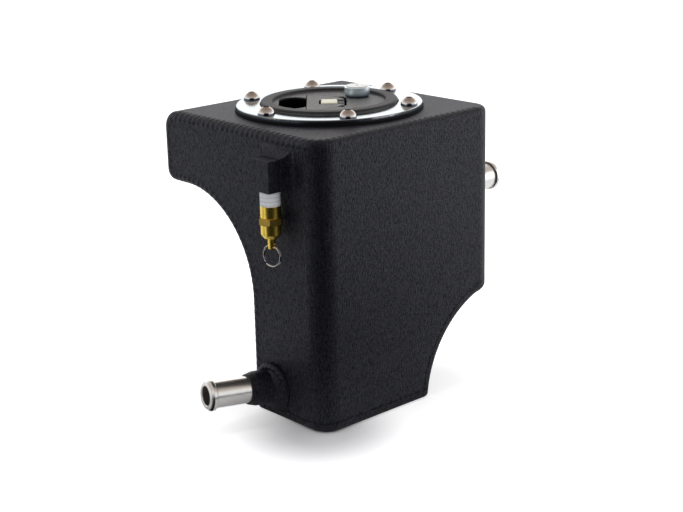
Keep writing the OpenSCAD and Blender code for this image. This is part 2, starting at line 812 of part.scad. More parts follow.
// Half-round lever: its nose carries two eccentric lobes on the pin, beside the block's slot
module cap_lever() {
    color([0.21, 0.21, 0.21]) on_cap() difference() {
        union() {
            translate([0, 0, dish_z - lever_t]) linear_extrude(lever_t) lever_outline(0);
            intersection() {
                translate([pin_off - lobe_off, 0, pin_z - lobe_low]) rotate([90, 0, 0])
                    cylinder(r = lobe_r, h = 2 * (ear_v - 0.4), center = true);
                translate([-50, -50, -50]) cube([100, 100, 50 + dish_z]);
            }
        }
        translate([slot_u0 - 0.2, -slot_w / 2, pin_z - 20]) cube([40, slot_w, 40]);
        translate([pin_off, 0, pin_z]) rotate([90, 0, 0])
            cylinder(r = pin_r + pin_gap, h = 60, center = true);
    }
}

module lever_pin() {
    color([0.6, 0.6, 0.6]) on_cap() translate([pin_off, 0, pin_z]) rotate([90, 0, 0])
        cylinder(r = pin_r, h = 2 * (ear_v - 0.6), center = true);
}

// Pale moulded block that shows in the lever's slot
module cam_block() {
    c = 0.8;
    color([0.83, 0.8, 0.7]) on_cap() difference() {
        translate([-block_l / 2, -block_w / 2, block_z])
            cube([block_l, block_w, block_top - block_z]);
        translate([-block_l / 2 - 1, -crosshead_w / 2 - 0.05, block_z - 1])
            cube([block_l + 2, crosshead_w + 0.1, 2]);
        for (s = [-1, 1]) translate([0, s * block_w / 2, block_top]) rotate([45, 0, 0])
            cube([block_l + 2, c, c], center = true);
    }
}

// Steel crosshead on a rod: its ear carries the lever's pin
module draw_rod() {
    color([0.3, 0.3, 0.32]) on_cap() difference() {
        union() {
            translate([-block_l / 2, -crosshead_w / 2, crosshead_low])
                cube([block_l / 2 + pin_off, crosshead_w, block_z + 0.95 - crosshead_low]);
            translate([pin_off - 2.2, -crosshead_w / 2, crosshead_low])
                cube([pin_r + 3.4, crosshead_w, crosshead_top - crosshead_low]);
            translate([0, 0, plate_z - nut_t - 3])
                cylinder(r = rod_r, h = crosshead_low - plate_z + nut_t + 3 + e);
        }
        translate([pin_off, 0, pin_z]) rotate([90, 0, 0])
            cylinder(r = pin_r + 0.02, h = 60, center = true);
    }
}

// Dished plate that squeezes the seal from below
module clamp_plate() {
    plate_r = seal_out_r - 0.5;
    color([0.55, 0.55, 0.56]) on_cap() difference() {
        translate([0, 0, plate_z]) cylinder(r = plate_r, h = clamp_t);
        translate([0, 0, plate_z + 1.6]) difference() {
            cylinder(r = skirt_r - skirt_t - 1, h = clamp_t);
            cylinder(r = rod_r + 5, h = clamp_t);
        }
        translate([0, 0, plate_z - 1]) cylinder(r = rod_r + 0.02, h = clamp_t + 2);
    }
}

module clamp_nut() {
    color([0.7, 0.7, 0.68]) on_cap() difference() {
        translate([0, 0, plate_z - nut_t]) cylinder(r = nut_af / sqrt(3), h = nut_t, $fn = 6);
        translate([0, 0, plate_z - nut_t - 1]) cylinder(r = rod_r + 0.02, h = nut_t + 2);
    }
}

// Round plated knob on a shank, with a groove for its clip
module bleed_knob() {
    clip_z = skirt_low + 1.5;
    color([0.85, 0.87, 0.9]) on_cap() translate([knob_u, knob_v, 0]) difference() {
        rotate_extrude() polygon([[0, clip_z - 1.5], [shank_r, clip_z - 1.5], [shank_r, clip_z],
            [shank_r - 0.8, clip_z], [shank_r - 0.8, clip_z + 1], [shank_r, clip_z + 1],
            [shank_r, dish_z + 0.1], [knob_r - 1.2, dish_z + 0.1], [knob_r - 0.4, dish_z + 1.1],
            [knob_r, dish_z + 2], [knob_r, dish_z + knob_h - 1], [knob_r - 1, dish_z + knob_h],
            [0, dish_z + knob_h]]);
        translate([0, 0, dish_z + knob_h - 0.6]) cylinder(r1 = 0.6, r2 = 1.4, h = 1);
    }
}

// Spring clip in the shank's groove
module knob_clip() {
    clip_z = skirt_low + 1.5;
    color([0.5, 0.5, 0.5]) on_cap() translate([knob_u, knob_v, clip_z + 0.1]) difference() {
        cylinder(r = shank_r + 2.2, h = 0.8);
        translate([0, 0, -1]) cylinder(r = shank_r - 0.75, h = 3);
        translate([-shank_r * 0.6, 0, -1]) cube([shank_r * 1.2, 10, 3]);
    }
}

// Turned brass valve: threaded nipple, barrel, hexagon, bored for the spring
module valve_body() {
    color([0.72, 0.6, 0.28]) on_valve() difference() {
        union() {
            translate([0, 0, barrel_z - e]) cylinder(r = nipple_r - tape_t, h = nipple_l + nipple_in);
            rotate_extrude() polygon([[0, low_z], [barrel_r - 1.8, low_z], [barrel_r, low_z + 2.4],
                [barrel_r, barrel_z - 0.3], [barrel_r - 0.3, barrel_z], [0, barrel_z]]);
            translate([0, 0, hex_z]) rotate([0, 0, 15]) intersection() {
                cylinder(r = hex_af / sqrt(3), h = hex_h, $fn = 6);
                rotate_extrude() polygon([[0, 0], [hex_af / 2 - 0.2, 0], [hex_af / sqrt(3), 0.7],
                    [hex_af / sqrt(3), hex_h - 0.7], [hex_af / 2 - 0.2, hex_h], [0, hex_h]]);
            }
        }
        translate([0, 0, chamber_low]) cylinder(r = chamber_r, h = chamber_top - chamber_low);
        translate([0, 0, low_z - 1]) cylinder(r = stem_r + 0.3, h = 5);
        translate([0, 0, chamber_top - 1]) cylinder(r = flow_r, h = nipple_l + nipple_in + 9);
    }
}

// White tape wound on the thread
module thread_tape() {
    color([0.93, 0.93, 0.92]) on_valve() difference() {
        translate([0, 0, barrel_z]) cylinder(r = nipple_r, h = nipple_l + nipple_in - 0.5);
        translate([0, 0, barrel_z - 1]) cylinder(r = nipple_r - tape_t, h = nipple_l + nipple_in + 2);
    }
}

// Soft disc that closes the seat
module valve_seat() {
    color([0.15, 0.15, 0.15]) on_valve() translate([0, 0, chamber_top - seat_t - 0.1])
        cylinder(r = seat_r, h = seat_t);
}

// Closed spring under the disc, shown as its outer sleeve of turns
module valve_spring() {
    low = chamber_low + 0.1;
    high = chamber_top - seat_t - 1.4;
    turns = 7;
    pitch = (high - low) / turns;
    color([0.7, 0.7, 0.7]) on_valve() for (i = [0 : turns - 1])
        translate([0, 0, low + (i + 0.5) * pitch]) rotate_extrude($fn = 48)
            translate([spring_r, 0]) circle(r = pitch / 2 - 0.06, $fn = 16);
}

// Stem with a shoulder under the disc and a cross hole for the pull ring
module valve_stem() {
    color([0.72, 0.6, 0.28]) on_valve() difference() {
        rotate_extrude() polygon([[0, stem_low], [stem_r - 0.4, stem_low], [stem_r, stem_low + 0.4],
            [stem_r, chamber_low + 1.5], [stem_r - 0.4, chamber_low + 1.9],
            [stem_r - 0.4, chamber_top - seat_t - 1.2], [seat_r - 0.2, chamber_top - seat_t - 1.2],
            [seat_r - 0.2, chamber_top - seat_t - 0.1], [0, chamber_top - seat_t - 0.1]]);
        translate([0, 0, eye_z]) rotate([0, 0, pull_turn]) rotate([0, 90, 0])
            cylinder(r = eye_r, h = 20, center = true);
    }
}

// Split ring: two turns of round wire side by side
module pull_ring() {
    color([0.75, 0.75, 0.74]) on_valve() translate([0, 0, eye_z]) rotate([0, 0, pull_turn])
        translate([0, 0, -pull_r]) rotate([90, 0, 0]) for (s = [-1, 1])
            translate([0, 0, s * (pull_wire_r - 0.05)]) rotate_extrude()
                translate([pull_r, 0]) circle(r = pull_wire_r, $fn = 24);
}

shell_wrap();
left_wall();
top_plate();
foot_plate();
left_arch_panel();
rear_arch_panel();
top_weld();
left_arch_weld();
rear_arch_weld();
foot_weld();
corner_welds();
valve_block();
valve_block_weld();
lower_bung();
lower_bung_weld();
lower_hose_tube();
upper_bung();
upper_bung_weld();
upper_hose_tube();
neck_ring();
filler_gasket();
flange_ring();
ring_screws();
cap_body();
cap_seal();
cap_lever();
lever_pin();
cam_block();
draw_rod();
clamp_plate();
clamp_nut();
bleed_knob();
knob_clip();
valve_body();
thread_tape();
valve_seat();
valve_spring();
valve_stem();
pull_ring();
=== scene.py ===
import json
import math

import bpy
from mathutils import Matrix, Vector


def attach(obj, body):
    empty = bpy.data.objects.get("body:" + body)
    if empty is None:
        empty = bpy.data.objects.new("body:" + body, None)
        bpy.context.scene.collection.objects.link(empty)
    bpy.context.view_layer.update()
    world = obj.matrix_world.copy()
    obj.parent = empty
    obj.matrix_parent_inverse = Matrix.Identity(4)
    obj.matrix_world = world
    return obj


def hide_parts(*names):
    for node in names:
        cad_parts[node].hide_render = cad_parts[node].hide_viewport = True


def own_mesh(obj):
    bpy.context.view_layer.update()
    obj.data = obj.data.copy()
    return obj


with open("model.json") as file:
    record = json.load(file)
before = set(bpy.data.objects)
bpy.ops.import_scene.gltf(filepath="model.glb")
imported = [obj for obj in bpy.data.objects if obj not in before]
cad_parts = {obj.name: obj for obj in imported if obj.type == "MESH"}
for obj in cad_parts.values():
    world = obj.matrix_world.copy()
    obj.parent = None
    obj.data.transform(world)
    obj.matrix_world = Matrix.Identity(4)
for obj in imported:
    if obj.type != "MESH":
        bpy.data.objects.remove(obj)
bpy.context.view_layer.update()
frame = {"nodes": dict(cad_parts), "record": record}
bpy.ops.object.select_all(action="DESELECT")

MM = 0.001
TINY = 0.00001
# The places and sizes that the CAD uses, in metres
TANK_TOP = 0.195
X_LEFT, X_RIGHT, Y_FRONT, Y_BACK = -0.125, 0.0355, -0.0485, 0.1125
SHEET = 0.004
FOOT_LEFT, FOOT_BACK = -0.0355, 0.0485
BEND, ROLL, TUCK = 0.014, 0.012, 0.008
LEFT_ARCH_R, LEFT_ARCH_TOP = 0.0677, 0.1461
REAR_ARCH_R, REAR_ARCH_TOP = 0.0733, 0.0677
REAR_ARCH_Z = REAR_ARCH_TOP - REAR_ARCH_R
REAR_ARCH_Y = FOOT_BACK + math.sqrt(REAR_ARCH_R ** 2 - REAR_ARCH_Z ** 2)
FILLER = Vector((-0.04305, 0.0323, TANK_TOP))
CAP_TURN = math.radians(48.4)
DISH_Z = TANK_TOP + 0.0039
BLOCK_LOW, BLOCK_L, BLOCK_W = 0.0009, 0.0113, 0.0136
BOSS_X, BOSS_W = -0.0016, 0.0178
BOSS_LOW, BOSS_TOP = 0.1609, 0.1814
VALVE = Vector((-0.0016, -0.0567, 0.0))
LOWER_ROOT = Vector((-0.0171, Y_FRONT, 0.0216))
LOWER_SPLAY, LOWER_RISE = math.radians(12.5), math.radians(3.8)
LOWER_AXIS = Vector((-math.sin(LOWER_SPLAY) * math.cos(LOWER_RISE),
                     -math.cos(LOWER_SPLAY) * math.cos(LOWER_RISE), math.sin(LOWER_RISE)))
OUTLET = 0.049
UPPER_END = Vector((-0.0111, 0.1615, 0.1297))
# How deep the seams lie in their beads, and how far the left edge's arcs of scales are
# moved in, so that they stay inside the CAD's box
SUNK, TUCKED_IN = 0.0004, 0.0004


# Materials

def new_material(name, colour, roughness, metallic=0.0, specular=0.5):
    """A material with its plain numbers on the shader itself."""
    made = bpy.data.materials.new(name)
    made.use_nodes = True
    shader = made.node_tree.nodes["Principled BSDF"]
    shader.inputs["Base Color"].default_value = (*colour, 1.0)
    shader.inputs["Roughness"].default_value = roughness
    shader.inputs["Metallic"].default_value = metallic
    shader.inputs["Specular IOR Level"].default_value = specular
    return made, made.node_tree, shader


def place_pattern(tree, stretch=(1, 1, 1)):
    """Object coordinates, stretched as the pattern runs."""
    coords = tree.nodes.new("ShaderNodeTexCoord")
    mapping = tree.nodes.new("ShaderNodeMapping")
    mapping.inputs["Scale"].default_value = stretch
    tree.links.new(coords.outputs["Object"], mapping.inputs["Vector"])
    return mapping.outputs["Vector"]


def noise(tree, vector, scale, detail=2.0, roughness=0.5):
    """Noise on a vector; its scale counts cells in a metre."""
    node = tree.nodes.new("ShaderNodeTexNoise")
    node.inputs["Scale"].default_value = scale
    node.inputs["Detail"].default_value = detail
    node.inputs["Roughness"].default_value = roughness
    tree.links.new(vector, node.inputs["Vector"])
    return node.outputs["Fac"]


def ramp(tree, value, stops):
    """A colour ramp over a value; stops are (position, colour)."""
    node = tree.nodes.new("ShaderNodeValToRGB")
    while len(node.color_ramp.elements) < len(stops):
        node.color_ramp.elements.new(0.5)
    for element, (place, colour) in zip(node.color_ramp.elements, stops):
        element.position = place
        element.color = (*colour, 1.0)
    tree.links.new(value, node.inputs["Fac"])
    return node.outputs["Color"]


def bump(tree, shader, height, depth, strength=1.0):
    """Bumps the shader by a height from 0 to 1, with its depth in metres."""
    node = tree.nodes.new("ShaderNodeBump")
    node.inputs["Strength"].default_value = strength
    node.inputs["Distance"].default_value = depth
    tree.links.new(height, node.inputs["Height"])
    tree.links.new(node.outputs["Normal"], shader.inputs["Normal"])


def mixed(tree, a, b, share):
    """Two values mixed by a fixed share of the second."""
    node = tree.nodes.new("ShaderNodeMix")
    node.inputs["Factor"].default_value = share
    tree.links.new(a, node.inputs["A"])
    tree.links.new(b, node.inputs["B"])
    return node.outputs["Result"]


def combine(tree, operation, a, b):
    """Maths on two values, of which the second may be a plain number."""
    node = tree.nodes.new("ShaderNodeMath")
    node.operation = operation
    tree.links.new(a, node.inputs[0])
    if isinstance(b, float):
        node.inputs[1].default_value = b
    else:
        tree.links.new(b, node.inputs[1])
    return node.outputs[0]


def run_between(tree, value, low, high, to_low=0.0, to_high=1.0):
    """Runs from to_low to to_high as a value goes from low to high, and stays there beyond."""
    node = tree.nodes.new("ShaderNodeMapRange")
    node.inputs["From Min"].default_value = low
    node.inputs["From Max"].default_value = high
    node.inputs["To Min"].default_value = to_low
    node.inputs["To Max"].default_value = to_high
    tree.links.new(value, node.inputs["Value"])
    return node.outputs["Result"]


def along_axis(tree, coordinates, axis):
    """How far a place lies along an axis through the origin."""
    coords = tree.nodes.new("ShaderNodeTexCoord")
    node = tree.nodes.new("ShaderNodeVectorMath")
    node.operation = "DOT_PRODUCT"
    node.inputs[1].default_value = axis
    tree.links.new(coords.outputs[coordinates], node.inputs[0])
    return node.outputs["Value"]


def upward(tree, coordinates="Object"):
    """The height of a place, or the upward share of a direction."""
    coords = tree.nodes.new("ShaderNodeTexCoord")
    split = tree.nodes.new("ShaderNodeSeparateXYZ")
    tree.links.new(coords.outputs[coordinates], split.inputs["Vector"])
    return split.outputs["Z"]


def groove(tree, distance, place, width):
    """1 in a narrow groove where a distance passes a place, and 0 beside it."""
    size = tree.nodes.new("ShaderNodeMath")
    size.operation = "ABSOLUTE"
    tree.links.new(combine(tree, "SUBTRACT", distance, place), size.inputs[0])
    return run_between(tree, size.outputs[0], 0.0, width, 1.0, 0.0)


def weld_toes(tree):
    """Shallow grooves at the toes of the welds: over the foot and along the rear arch."""
    toe = SHEET + 0.0042
    wobble = combine(tree, "MULTIPLY", noise(tree, place_pattern(tree), 260, 1.0), 0.0026)
    height = combine(tree, "ADD", upward(tree), wobble)
    coords = tree.nodes.new("ShaderNodeTexCoord")
    centred = tree.nodes.new("ShaderNodeMapping")
    centred.inputs["Location"].default_value = (0, -REAR_ARCH_Y, -REAR_ARCH_Z)
    centred.inputs["Scale"].default_value = (0, 1, 1)
    tree.links.new(coords.outputs["Object"], centred.inputs["Vector"])
    away = tree.nodes.new("ShaderNodeVectorMath")
    away.operation = "LENGTH"
    tree.links.new(centred.outputs["Vector"], away.inputs[0])
    arch = combine(tree, "ADD", away.outputs["Value"], wobble)
    foot_toe = groove(tree, height, toe, 0.0010)
    arch_toe = groove(tree, arch, REAR_ARCH_R + toe, 0.0011)
    return combine(tree, "MAXIMUM", foot_toe, arch_toe)


def texture_coat():
    """Black powder coat: a fine wrinkle with short streaks that run up and down."""
    made, tree, shader = new_material("texture_coat", (0.008, 0.008, 0.009), 0.5)
    shader.inputs["Specular Tint"].default_value = (0.88, 0.9, 1.0, 1.0)
    wrinkle = noise(tree, place_pattern(tree), 1250, 2.0, 0.6)
    streaks = noise(tree, place_pattern(tree, (1, 1, 0.28)), 1150, 2.0, 0.6)
    both = mixed(tree, wrinkle, streaks, 0.45)
    both = combine(tree, "SUBTRACT", both, combine(tree, "MULTIPLY", weld_toes(tree), 0.13))
    tones = [(0.36, (0.0012, 0.0012, 0.0028)), (0.64, (0.0072, 0.0072, 0.0135))]
    tree.links.new(ramp(tree, both, tones), shader.inputs["Base Color"])
    shine = run_between(tree, both, 0.35, 0.65, 0.08, 0.64)
    tree.links.new(shine, shader.inputs["Specular IOR Level"])
    bump(tree, shader, both, 0.0006, 0.7)
    return made


def polish_marks(tree, shader):
    """Very fine marks, as turning and polishing leave them."""
    bump(tree, shader, noise(tree, place_pattern(tree), 2500, 2.0), 0.00003, 0.3)


def finish_metal(name, colour, roughness):
    """Metal of one tone."""
    made, tree, shader = new_material(name, colour, roughness, 1.0)
    polish_marks(tree, shader)
    return made


def finish_plain(name, colour, roughness, specular=0.5):
    """Rubber or plastic of one tone, with a fine grain."""
    made, tree, shader = new_material(name, colour, roughness, 0.0, specular)
    bump(tree, shader, noise(tree, place_pattern(tree), 1800, 2.0), 0.00008, 0.6)
    return made


def finish_moulding(name, low, high, rim, roughness):
    """Grained moulding: a mottled face, a darker rim, and wells kept dark by painted shade."""
    made, tree, shader = new_material(name, high, roughness, 0.0, 1.0)
    height = run_between(tree, upward(tree), DISH_Z - 0.0016, DISH_Z + 0.0024)
    grain = noise(tree, place_pattern(tree), 560, 3.0, 0.6)
    mottled = combine(tree, "ADD", height, combine(tree, "MULTIPLY", grain, 0.4))
    # Below the face the tone turns near black and the shine drops: painted shade in the wells.
    tones = [(0.38, (0.001, 0.001, 0.001)), (0.52, low), (0.69, high), (0.95, rim)]
    tree.links.new(ramp(tree, mottled, tones), shader.inputs["Base Color"])
    shine = [(0.0, (0.04, 0.04, 0.04)), (0.3, (1, 1, 1)), (0.45, (1, 1, 1)), (0.55, (0.6, 0.6, 0.6))]
    tree.links.new(ramp(tree, height, shine), shader.inputs["Specular IOR Level"])
    bump(tree, shader, grain, 0.0003, 0.6)
    return made


def finish_by_height(name, stops, roughness, metallic=1.0):
    """Metal whose tone runs with its height, in bands that paint shade and reflections; stops are (mm
    over the floor, colour).
    """
    made, tree, shader = new_material(name, stops[-1][1], roughness, metallic)
    low, high = stops[0][0], stops[-1][0]
    height = run_between(tree, upward(tree), low * MM, high * MM)
    tones = [((mm - low) / (high - low), colour) for mm, colour in stops]
    tree.links.new(ramp(tree, height, tones), shader.inputs["Base Color"])
    polish_marks(tree, shader)
    return made


def finish_tube(name, end, axis):
    """Turned tube, whose rounded lip at the open end is paler and duller: a painted highlight, made by
    turning the lip less metallic.
    """
    made, tree, shader = new_material(name, (0.84, 0.82, 0.79), 0.27, 1.0)
    reach = axis.dot(end)
    # Less metal shine near the open end, so the lip shows pale: a painted highlight.
    lip = run_between(tree, along_axis(tree, "Object", axis), reach - 0.0011, reach - 0.0003, 1.0, 0.3)
    tree.links.new(lip, shader.inputs["Metallic"])
    polish_marks(tree, shader)
    return made


def finish_tape():
    """White tape wound in overlapping turns, with a grey line at the edge of each turn."""
    made, tree, shader = new_material("thread_tape", (0.6, 0.61, 0.63), 0.55)
    turns = tree.nodes.new("ShaderNodeTexWave")
    turns.wave_type = "BANDS"
    turns.bands_direction = "Z"
    turns.wave_profile = "SAW"
    turns.inputs["Scale"].default_value = 120
    turns.inputs["Distortion"].default_value = 0.6
    tree.links.new(place_pattern(tree), turns.inputs["Vector"])
    tones = [(0.0, (0.36, 0.37, 0.4)), (0.2, (0.66, 0.67, 0.69)), (1.0, (0.6, 0.61, 0.63))]
    tree.links.new(ramp(tree, turns.outputs["Fac"], tones), shader.inputs["Base Color"])
    bump(tree, shader, turns.outputs["Fac"], 0.0003, 0.6)
    return made


COAT = texture_coat()
# Ring zinc: dark low on its side and lighter upwards, which is painted shade under the bright top.
ZINC = finish_by_height("bright_zinc", [
    (197.0, (0.12, 0.13, 0.16)), (197.7, (0.32, 0.36, 0.39)), (198.9, (0.46, 0.5, 0.52))], 0.12)
# Screw heads: near black at the base as painted shade, a bright band above as painted reflection, and
# a tan top as painted reflection of the warm ceiling.
STEEL = finish_by_height("stainless_screw", [
    (199.1, (0.08, 0.09, 0.12)), (199.9, (0.16, 0.17, 0.2)), (200.4, (0.7, 0.69, 0.67)),
    (202.0, (0.62, 0.55, 0.5)), (204.0, (0.5, 0.43, 0.38))], 0.2)
# Knob: dark at its base as a painted shadow beneath it.
KNOB = finish_by_height("zinc_knob", [
    (199.6, (0.1, 0.13, 0.17)), (201.4, (0.4, 0.5, 0.56)), (203.2, (0.76, 0.88, 0.93)),
    (206.2, (0.78, 0.88, 0.92)), (206.6, (0.44, 0.43, 0.4))], 0.24, 0.6)
# Brass: the band from 138.7 to 143.2 mm is dark as a painted reflection, with thin bright edges as
# painted highlights.
BRASS = finish_by_height("turned_brass", [
    (138.4, (0.95, 0.69, 0.12)), (138.7, (0.3, 0.2, 0.04)), (143.2, (0.34, 0.23, 0.05)),
    (143.6, (0.95, 0.69, 0.12))], 0.3)
LOWER_TUBE = finish_tube("lower_turned_tube", LOWER_ROOT + LOWER_AXIS * OUTLET, LOWER_AXIS)
UPPER_TUBE = finish_tube("upper_turned_tube", UPPER_END, Vector((0, 1, 0)))
WIRE = finish_metal("ring_wire", (0.6, 0.58, 0.55), 0.14)
DARK_STEEL = finish_metal("inner_steel", (0.02, 0.02, 0.022), 0.5)
RIM_TONE = (0.014, 0.014, 0.015)
CAP = finish_moulding("moulded_cap", (0.03, 0.03, 0.031), (0.12, 0.12, 0.122), RIM_TONE, 0.58)
LEVER = finish_moulding("moulded_lever", (0.034, 0.034, 0.035), (0.13, 0.13, 0.13), RIM_TONE, 0.56)
RUBBER = finish_plain("gasket_rubber", (0.008, 0.008, 0.008), 0.7, 0.12)
BLOCK = finish_plain("pale_block", (0.62, 0.58, 0.47), 0.5)
TAPE = finish_tape()

FINISHES = {
    "body_coat": COAT, "weld_coat": COAT, "tube_metal": LOWER_TUBE, "ring_zinc": ZINC,
    "neck_metal": DARK_STEEL, "screw_steel": STEEL, "gasket_rubber": RUBBER,
    "cap_plastic": CAP, "lever_plastic": LEVER, "block_plastic": BLOCK,
    "inner_steel": DARK_STEEL, "knob_zinc": KNOB, "valve_brass": BRASS,
    "tape_white": TAPE, "ring_steel": WIRE,
}
SLOT_OF = {part["node"]: part["material_slot"] for part in frame["record"]["subparts"]}
for name, node in frame["nodes"].items():
    for place in node.material_slots:
        place.material = FINISHES[SLOT_OF[name]]
for place in frame["nodes"]["upper_hose_tube"].material_slots:
    place.material = UPPER_TUBE


# Welds, ring and other pieces that the solids leave plain

def add_scale(place, along, out, half_length, radius, lean):
    """One scale of a weld: a low lens that leans along the seam."""
    bpy.ops.mesh.primitive_uv_sphere_add(segments=20, ring_count=12, radius=1, location=place)
    scale = bpy.context.object
    side = out.cross(along)
    turn = Matrix((along, side, out)).transposed()
    leaned = Matrix.Rotation(lean, 3, out) @ turn
    scale.rotation_euler = leaned.to_euler()
    scale.scale = (half_length, radius, radius)
    return scale


def join_pieces(made, name, material, body="tank", replaced=()):
    """Joins pieces into one object at the origin, smooth, riding on a body."""
    bpy.ops.object.select_all(action="DESELECT")
    for piece in made:
        piece.select_set(True)
    bpy.context.view_layer.objects.active = made[0]
    if len(made) > 1:
        bpy.ops.object.join()
    whole = bpy.context.object
    bpy.ops.object.transform_apply(location=True, rotation=True, scale=True)
    bpy.ops.object.shade_smooth_by_angle(angle=math.radians(40))
    whole.name = name
    whole.data.materials.clear()
    whole.data.materials.append(material)
    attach(whole, body)
    if replaced:
        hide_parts(*replaced)
    bpy.ops.object.select_all(action="DESELECT")
    return whole


SCALE_PITCH = 0.0052


def along_line(start, end, out):
    """Places of scales along a straight seam: place, direction along, direction out."""
    start, end, out = Vector(start), Vector(end), Vector(out).normalized()
    count = max(2, round((end - start).length / SCALE_PITCH))
    step = (end - start) / count
    return [(start + step * (k + 0.5), step.normalized(), out) for k in range(count)]


def along_arc(centre, radius, axis, first, sweep, side, outward=1):
    """Places of scales along an arc; first is the direction from the centre to its start."""
    centre, axis, first = Vector(centre), Vector(axis).normalized(), Vector(first).normalized()
    count = max(2, round(abs(sweep) * radius / SCALE_PITCH))
    places = []
    for k in range(count):
        away = Matrix.Rotation(sweep * (k + 0.5) / count, 3, axis) @ first
        along = axis.cross(away).normalized() * (1 if sweep > 0 else -1)
        out = (away * outward + Vector(side)).normalized()
        places.append((centre + away * radius, along, out))
    return places


def weld_run(name, places):
    """A seam of overlapping scales over a dressed bead."""
    half_length, radius, lean = 0.0058, 0.00412, 0.6
    made = [add_scale(place, along, out, half_length, radius, lean) for place, along, out in places]
    join_pieces(made, name, COAT)


def make_seams():
    """Rippled seams on the edges that the bead of the solids keeps plain."""
    front, top = Y_FRONT + SHEET, TANK_TOP - SHEET
    right, left = X_RIGHT - SHEET - SUNK, X_LEFT + SHEET + SUNK
    bend_x, bend_front, bend_back = X_RIGHT - BEND, Y_FRONT + BEND, Y_BACK - BEND
    roll_x, roll_z = X_LEFT + ROLL, TANK_TOP - ROLL
    tuck_x, tuck_z = X_LEFT + TUCK, LEFT_ARCH_TOP + TUCK
    arch_x, arch_z = FOOT_LEFT - LEFT_ARCH_R, LEFT_ARCH_TOP - LEFT_ARCH_R
    under, foot_in = LEFT_ARCH_TOP + SHEET, FOOT_LEFT + SHEET
    quarter = math.pi / 2
    up, forward = Vector((0, 0, 1)), Vector((0, -1, 0))

    places = along_line((roll_x, front, top), (bend_x, front, top), (0, -1, 1))
    places += along_arc((bend_x, bend_front, top), BEND - SHEET - SUNK / 2, up, forward, quarter, up)
    places += along_line((right, bend_front, top), (right, bend_back, top), (1, 0, 1))
    places += along_arc((roll_x + TUCKED_IN, front, roll_z), ROLL - SHEET - SUNK,
                        forward, up, quarter, forward)
    weld_run("top_seam", places)

    places = along_line((left, front, roll_z), (left, front, tuck_z), (-1, -1, 0))
    places += along_arc((tuck_x + TUCKED_IN, front, tuck_z), TUCK - SHEET - SUNK,
                        forward, (-1, 0, 0), quarter, forward)
    places += along_line((tuck_x, front, under), (arch_x, front, under), (0, -1, -1))
    places += along_arc((arch_x, front, arch_z), LEFT_ARCH_R + SHEET,
                        forward, up, -quarter, forward, outward=-1)
    places += along_line((foot_in, front, arch_z), (foot_in, front, SHEET), (-1, -1, 0))
    weld_run("left_seam", places)

    foot_z = SHEET + SUNK
    places = along_line((foot_in, front, foot_z), (bend_x, front, foot_z), (0, -1, -1))
    weld_run("foot_seam", places)


def make_bung_weld():
    """Coarse weld over the lower bung's fillet, from its right round the top to its left."""
    centre = Vector((-0.0148, Y_FRONT - 0.0016, 0.0206))
    half_width, half_height = 0.0148, 0.0152
    first, step, count = -22, 15.5, 13
    half_length, radius, lean = 0.0044, 0.0024, 0.3
    flare = 0.7
    made = []
    for k in range(count):
        turn = math.radians(first + step * k)
        place = centre + Vector((half_width * math.cos(turn), 0, half_height * math.sin(turn)))
        along = Vector((-math.sin(turn), 0, math.cos(turn)))
        out = Vector((flare * math.cos(turn), -1, flare * math.sin(turn))).normalized()
        made.append(add_scale(place, along, out, half_length, radius, lean))
    join_pieces(made, "lower_bung_seam", COAT)


def make_wire(points, radius):
    """Round wire through points, as a mesh with closed ends."""
    bpy.ops.curve.primitive_nurbs_path_add(location=(0, 0, 0))
    wire = bpy.context.object
    curve = wire.data
    curve.splines.clear()
    spline = curve.splines.new("POLY")
    spline.points.add(len(points) - 1)
    for point, place in zip(spline.points, points):
        point.co = (*place, 1)
    curve.bevel_depth = radius
    curve.bevel_resolution = 4
    curve.use_fill_caps = True
    bpy.ops.object.select_all(action="DESELECT")
    wire.select_set(True)
    bpy.context.view_layer.objects.active = wire
    bpy.ops.object.convert(target="MESH")
    bpy.ops.object.mode_set(mode="EDIT")
    bpy.ops.mesh.select_all(action="SELECT")
    bpy.ops.mesh.remove_doubles(threshold=TINY)
    bpy.ops.mesh.normals_make_consistent(inside=False)
    bpy.ops.object.mode_set(mode="OBJECT")
    return bpy.context.object


def make_split_ring():
    """Two turns of round wire side by side, with the wire's ends low on the left."""
    radius, wire, eye_z = 0.00695, 0.00047, 0.1243
    apart, lean_over, leaning = 0.00046, 0.0003, 10
    steps = 96
    turn = math.radians(10)
    across = Vector((math.cos(turn), math.sin(turn), 0))
    through = Vector((-math.sin(turn), math.cos(turn), 0))
    up = Vector((0, 0, 1))
    centre = VALVE + Vector((0, 0, eye_z - radius))
    made = []
    for shift, start, end in ((-apart, -2.25, 3.85), (apart, -2.05, 3.6)):
        points = []
        for k in range(steps + 1):
            angle = start + (end - start) * k / steps
            lift = shift - lean_over * max(0, 1 - k / leaning)
            round_ring = across * radius * math.cos(angle) + up * radius * math.sin(angle)
            points.append(centre + round_ring + through * lift)
        made.append(make_wire(points, wire))
    join_pieces(made, "split_ring", WIRE, "ring", ("pull_ring",))


